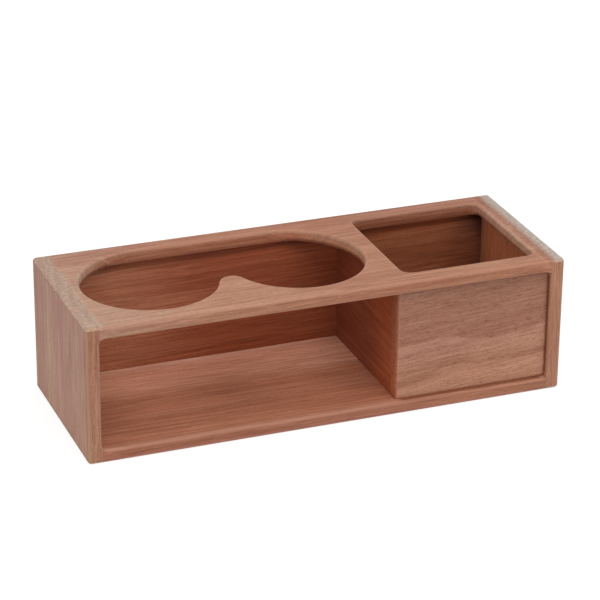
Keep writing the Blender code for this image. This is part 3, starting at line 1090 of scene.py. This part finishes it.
floor_rear_painted_light = zone(front, 62, 78)
floor_under_bin = (divider_left, bin_right)
floor_wood = teak(
    "floor_teak", ALONG_X, tilt=(0.0, -0.5, 1.0), pith=(-20.0, 70.0), ring_width=8.0,
    tone=(0.445, 0.202, 0.125), blush=(0.445, 0.184, 0.111), end_tone=(0.34, 0.145, 0.08),
    band=0.25, streaks=0.6, clouds=0.25,
    tints=[
        # painted shade on the floor's front face and its arris
        tint(BACKWARDS, front_face_painted_shade, (0.83, 0.74, 0.71)),
        # painted light: the floor's rear part lighter, where light falls through the openings above
        tint(BACKWARDS, floor_rear_painted_light, (1.24, 1.42, 1.62), ragged=1.0),
        tint(RIGHTWARDS, floor_under_bin, (1.02, 1.12, 1.12))])

back_painted_drink_shadow = zone(inner_left, 35, 125)
back_behind_bin = zone(bin_left, 0, 20)
back_painted_shade_beside_end = zone(bin_right, -28, 5)
back_painted_shade_in_corner = zone(top_underside + inner_right, -30, -2)
back_painted_shade_under_top = zone(top_underside, -7.5, -0.3)
back_wood = teak(
    "back_panel_teak", ALONG_X, tilt=(0.0, 1.0, 0.0), pith=(90.0, -60.0), ring_width=7.0,
    tone=(0.43, 0.187, 0.111), blush=(0.43, 0.170, 0.094), end_tone=(0.34, 0.145, 0.08),
    streaks=0.55,
    tints=[
        # painted shadow of a drink in the right-hand drinks opening; behind the bin the next tint lifts
        # part of it
        tint(RIGHTWARDS, back_painted_drink_shadow, (0.67, 0.45, 0.34)),
        tint(RIGHTWARDS, back_behind_bin, (1.20, 1.57, 1.73)),
        # painted shade on the panel beside the right end
        tint(RIGHTWARDS, back_painted_shade_beside_end, (0.64, 0.64, 0.76)),
        # painted shade in the bin's upper right corner
        tint(UP_AND_RIGHTWARDS, back_painted_shade_in_corner, (0.54, 0.68, 0.94)),
        # painted shade under the top board
        tint(UPWARDS, back_painted_shade_under_top, (0.36, 0.215, 0.105), ragged=0.2)])

divider_height = zone(floor_top, 8, 60)
divider_painted_depth_shade = zone(front, 22, 60)
divider_wood = teak(
    "divider_teak", ALONG_Y, tilt=(0.0, 1.5, 0.0), pith=(70.0, -70.0), ring_width=7.0,
    # tone and blush: the wood's red-brown, made redder by painted red bounce light
    tone=(0.37, 0.105, 0.045), blush=(0.36, 0.098, 0.041), end_tone=(0.34, 0.145, 0.08),
    band=0.3, streaks=0.55,
    tints=[
        tint(UPWARDS, divider_height, (0.85, 0.76, 0.72)),
        # painted shade deeper in the drinks bay
        tint(BACKWARDS, divider_painted_depth_shade, (0.66, 0.70, 0.85))])

bin_front_painted_light_below = (top_underside - 20 * MM, floor_top)
bin_front_painted_shade_under_rail = zone(top_underside, -2.5, -0.5)
bin_front_painted_shade_over_floor = zone(floor_top, 1.6, 0.3)
bin_front_painted_shade_beside_end = zone(inner_right, -1.8, -0.3)
bin_front_wood = teak(
    "bin_front_teak", ALONG_X, tilt=(0.0, 4.5, 0.0), pith=(-40.0, -60.0), ring_width=9.0,
    tone=(0.368, 0.173, 0.111), blush=(0.363, 0.175, 0.115), end_tone=(0.38, 0.14, 0.078),
    band=0.4, streaks=0.22, flecks=0.7, clouds=0.4,
    tints=[
        # painted light: the bin's front lighter towards the bottom
        tint(UPWARDS, bin_front_painted_light_below, (1.22, 1.22, 1.16)),
        # painted shade along the bin front's edges: under the rail, over the floor and beside the right
        # end
        tint(UPWARDS, bin_front_painted_shade_under_rail, (0.72, 0.60, 0.54)),
        tint(UPWARDS, bin_front_painted_shade_over_floor, (0.66, 0.50, 0.42)),
        tint(RIGHTWARDS, bin_front_painted_shade_beside_end, (0.66, 0.50, 0.42))])


def dress(piece, node, material):
    """Gives a piece its wood, lets it stand for its CAD node and ride with the rack."""
    piece.data.materials.append(material)
    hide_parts(node)
    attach(piece, "root")


dress(left_end, "left_end", left_wood)
dress(right_end, "right_end", right_wood)
dress(top_board, "top_board", top_wood)
dress(floor_board, "floor_board", floor_wood)
dress(back_panel, "back_panel", back_wood)
dress(divider, "divider", divider_wood)
dress(bin_front, "bin_front", bin_front_wood)

# %% [markdown]
# ## The dowels
#
# The dowels are hidden in their joints. They keep their CAD shape, and get a pale close-grained
# hardwood whose fibres run along them.

# %% Hardwood for the dowels
DOWEL_FIBRE = ((9, 0.3, 0.3), 3.0, 0.6)
DOWEL_FIBRE_STEP = (0.3, 0.7)
DOWEL_RAY = ((1.6, 0.2, 0.9), 0.0, 0.5)
DOWEL_RAY_STEP = (0.62, 0.7)
DOWEL_RAY_DEPTH = 0.5
DOWEL_PALE = (0.56, 0.38, 0.22)
DOWEL_DEEP = (0.42, 0.26, 0.14)
DOWEL_RAY_COLOUR = (0.34, 0.19, 0.10)
DOWEL_ROUGHNESS = 0.55
DOWEL_FIBRE_ROUGHNESS = 0.2
DOWEL_BUMP_STRENGTH = 0.4
DOWEL_BUMP_HEIGHT = 0.08 * MM


def dowel_wood(name, grain):
    """Pale hardwood: fine fibres stretched along the dowel, with small ray flecks."""
    finish = Finish(bpy.data.materials.new(name))
    place = finish.add("ShaderNodeTexCoord", output="Object")
    log = log_place(finish, place, grain)
    fibre = finish.noise(log, *DOWEL_FIBRE)
    ray = finish.noise(log, *DOWEL_RAY).step(*DOWEL_RAY_STEP) * DOWEL_RAY_DEPTH
    colour = finish.mix(fibre.step(*DOWEL_FIBRE_STEP), opaque(DOWEL_PALE), opaque(DOWEL_DEEP))
    colour = finish.mix(ray, colour, opaque(DOWEL_RAY_COLOUR))
    roughness = DOWEL_ROUGHNESS + DOWEL_FIBRE_ROUGHNESS * fibre
    finish.feed(finish.shader, {"Base Color": colour, "Roughness": roughness})
    finish.bump(DOWEL_BUMP_STRENGTH, DOWEL_BUMP_HEIGHT, fibre - ray)
    return finish.owner


dowel_woods = {
    "x": dowel_wood("dowel_wood_along", ALONG_X),
    "y": dowel_wood("dowel_wood_across", ALONG_Y),
    "z": dowel_wood("dowel_wood_upright", ALONG_Z)}
for node_name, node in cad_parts.items():
    if "_dowel_" in node_name:
        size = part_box(node_name)[1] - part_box(node_name)[0]
        longest = "xyz"[int(np.argmax(size))]
        for slot in node.material_slots:
            slot.material = dowel_woods[longest]
print("dowels dressed:", sum("_dowel_" in node_name for node_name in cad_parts))

# %% [markdown]
# ## Ground and light
#
# The rack was photographed as goods are: on white, in soft light from all round. Three soft boxes
# add to it, the strongest above and in front, the others on the left and on the right. The ground
# is a pale plane that takes the rack's shadow.

# %% Ground, world and lamps
WHITE = (1.0, 1.0, 1.0)
GROUND_SIZE = 8.0
GROUND_COLOUR = (0.9, 0.9, 0.9)
GROUND_ROUGHNESS = 0.9
GROUND_GLOW = 1.15
GROUND_GLOW_SHARE = 0.7
AMBIENT = 0.58
BACKGROUND = 1.0
SOFT_BOXES = {
    "above": {"place": (-0.10, -0.56, 1.55), "size": 1.0, "power": 12.5},
    "left": {"place": (-1.50, -0.25, 0.35), "size": 0.8, "power": 4.2},
    "right": {"place": (0.90, -0.90, 0.70), "size": 0.6, "power": 2.6}}


def ground_finish():
    """Pale matt ground. The camera sees it a little brighter than it is lit, which leaves its shadows."""
    finish = Finish(bpy.data.materials.new("pale_ground"))
    finish.feed(finish.shader, {
        "Base Color": opaque(GROUND_COLOUR),
        "Roughness": GROUND_ROUGHNESS,
        "Specular IOR Level": 0.0})
    glow = finish.add("ShaderNodeEmission", inputs={"Color": opaque(WHITE), "Strength": GROUND_GLOW})
    seen = finish.add("ShaderNodeLightPath", output="Is Camera Ray") * GROUND_GLOW_SHARE
    lit = Signal(finish, finish.shader.outputs[0])
    both = finish.add("ShaderNodeMixShader", inputs={0: seen, 1: lit, 2: glow})
    finish.feed(finish.tree.nodes["Material Output"], {"Surface": both})
    return finish.owner


def ground_plane():
    """A flat square under the rack."""
    half = GROUND_SIZE / 2
    corners = [(-half, -half, ground), (half, -half, ground), (half, half, ground), (-half, half, ground)]
    mesh = bpy.data.meshes.new("ground")
    mesh.from_pydata(corners, [], [(0, 1, 2, 3)])
    mesh.materials.append(ground_finish())
    return new_object("ground", mesh)


def white_world():
    """A white world: one strength where the camera or a reflection sees it, and another as light."""
    sky = Finish(bpy.data.worlds.new("studio"))
    sky.tree.nodes.clear()
    seen = sky.add("ShaderNodeLightPath", output="Is Camera Ray")
    for ray in ("Is Glossy Ray", "Is Transmission Ray"):
        seen = seen.math("MAXIMUM", seen, sky.add("ShaderNodeLightPath", output=ray))
    levels = {0: seen}
    for number, strength in ((1, AMBIENT), (2, BACKGROUND)):
        values = {"Color": opaque(WHITE), "Strength": strength}
        levels[number] = sky.add("ShaderNodeBackground", inputs=values)
    output = sky.tree.nodes.new("ShaderNodeOutputWorld")
    sky.feed(output, {"Surface": sky.add("ShaderNodeMixShader", inputs=levels)})
    bpy.context.scene.world = sky.owner


def soft_box(name, aim, place, size, power):
    """A square area lamp turned to its aim, with its size in metres and its power in watts."""
    lamp = bpy.data.lights.new(name, "AREA")
    lamp.shape = "SQUARE"
    lamp.size = size
    lamp.energy = power
    item = new_object(name, lamp)
    item.location = place
    item.rotation_mode = "QUATERNION"
    item.rotation_quaternion = (Vector(aim) - Vector(place)).to_track_quat("-Z", "Y")


ground_plane()
white_world()
for box_name, settings in SOFT_BOXES.items():
    soft_box(box_name, (0.0, 0.0, height / 2), **settings)

# %% [markdown]
# ## Camera
#
# The camera was solved from the straight edges of the rack: where they meet in the distance
# gives the direction, and the lengths of the boards give the distance. It stands to the left of
# the rack and above it, with a long lens.

# %% The camera
AZIMUTH = -21.190
ELEVATION = 24.276
ROLL = 0.547
LENS = 157.105
SENSOR = 36.0
CLIP_START = 0.05
CLIP_END = 50.0
DISTANCE = 1.77176
PAN_RIGHT = 1.09 * MM
PAN_UP = 15.589 * MM
AIM_HEIGHT = 48.16 * MM


def place_camera():
    """Camera axes from three angles: back along the view and right along the horizon, then rolled."""
    azimuth, elevation, roll = (float(np.radians(angle)) for angle in (AZIMUTH, ELEVATION, ROLL))
    flat = np.cos(elevation)
    away = Vector((np.sin(azimuth) * flat, -np.cos(azimuth) * flat, np.sin(elevation)))
    level = (-away).cross(Vector((0, 0, 1))).normalized()
    upright = level.cross(-away)
    right = float(np.cos(roll)) * level + float(np.sin(roll)) * upright
    up = float(np.cos(roll)) * upright - float(np.sin(roll)) * level
    camera = bpy.data.cameras.new("camera")
    camera.lens = LENS
    camera.sensor_width = SENSOR
    camera.clip_start = CLIP_START
    camera.clip_end = CLIP_END
    item = new_object("camera", camera)
    item.location = Vector((0, 0, AIM_HEIGHT)) + DISTANCE * away + PAN_RIGHT * right + PAN_UP * up
    item.rotation_mode = "QUATERNION"
    item.rotation_quaternion = Matrix((right, up, away)).transposed().to_quaternion()
    bpy.context.scene.camera = item
    print("camera at", [round(value, 4) for value in item.location])


place_camera()
bpy.context.scene.view_settings.view_transform = "Standard"
